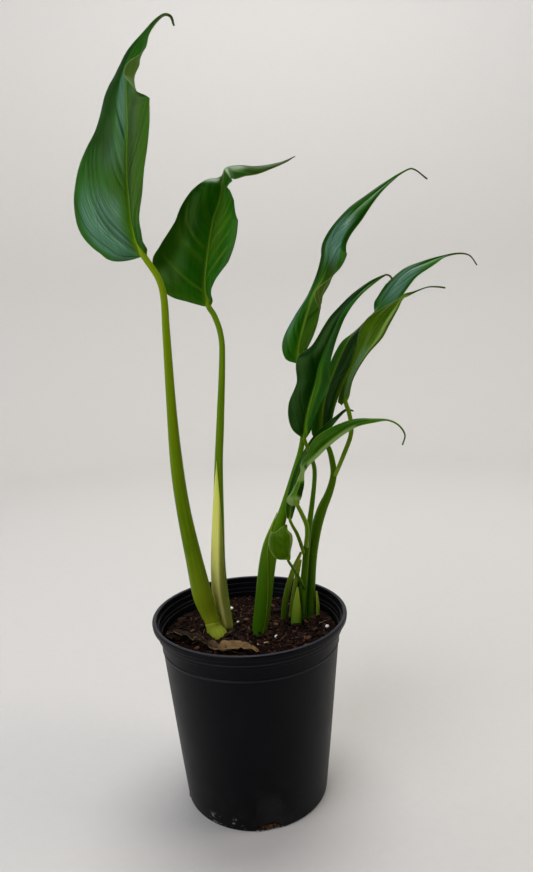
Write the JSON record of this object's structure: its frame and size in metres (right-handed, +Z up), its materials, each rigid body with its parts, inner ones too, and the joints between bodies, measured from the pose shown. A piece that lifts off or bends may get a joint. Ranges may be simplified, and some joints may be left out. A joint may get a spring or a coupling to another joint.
{
  "type": "potted_monstera",
  "caption": "Young climbing monstera with long narrow pointed leaves on slender upright stalks, rooted in potting soil in a plain round black plastic nursery pot with a rolled rim",
  "frame": {"origin": "Centre of the pot's flat underside, on the surface the pot stands on", "axes": "+Z is up, out of the pot. +Y points to the back, away from the side the plant is seen from. +X points to the right as seen from the front, the side that the lower group of leaves leans to."},
  "size_m": [0.3341, 0.165, 0.6362],
  "materials": {
    "pot": "black injection-moulded polypropylene, fine matte texture with a soft sheen",
    "soil": "damp dark bark and peat potting mix",
    "blade": "living leaf, waxy upper side with a soft bluish sheen",
    "stalk": "living leaf stalk, smooth and slightly glossy green",
    "sheath": "living leaf sheath, pale yellow-green, thin and satin",
    "dry": "dead leaf, dry and papery, matt brown",
    "bark": "rough reddish-brown bark",
    "perlite": "expanded white perlite grain, matt"
  },
  "bodies": {
    "root": {"nursery_pot": "pot", "potting_soil": "soil", "dry_leaf": "dry", "twig": "bark", "perlite_back": "perlite", "perlite_middle": "perlite", "perlite_front": "perlite", "perlite_right": "perlite", "bark_chip_left": "bark", "bark_chip_front": "bark", "bark_chip_back": "bark", "left_stem": "stalk", "tall_stalk": "stalk", "tall_leaf": "blade", "back_stalk": "stalk", "back_leaf": "blade", "pale_sheath": "sheath", "thick_stalk": "stalk", "thick_stalk_sheath": "sheath", "far_leaf": "blade", "front_stalk": "stalk", "front_leaf": "blade", "long_stalk": "stalk", "long_leaf": "blade", "bright_stalk": "stalk", "bright_leaf": "blade", "low_stalk": "stalk", "low_leaf": "blade", "hidden_stalk": "stalk", "hidden_leaf": "blade", "spoon_stalk": "stalk", "spoon_leaf": "blade", "outer_strap": "sheath", "inner_strap": "sheath", "pointed_sheath": "sheath", "right_strap": "sheath"}
  },
  "joints": []
}
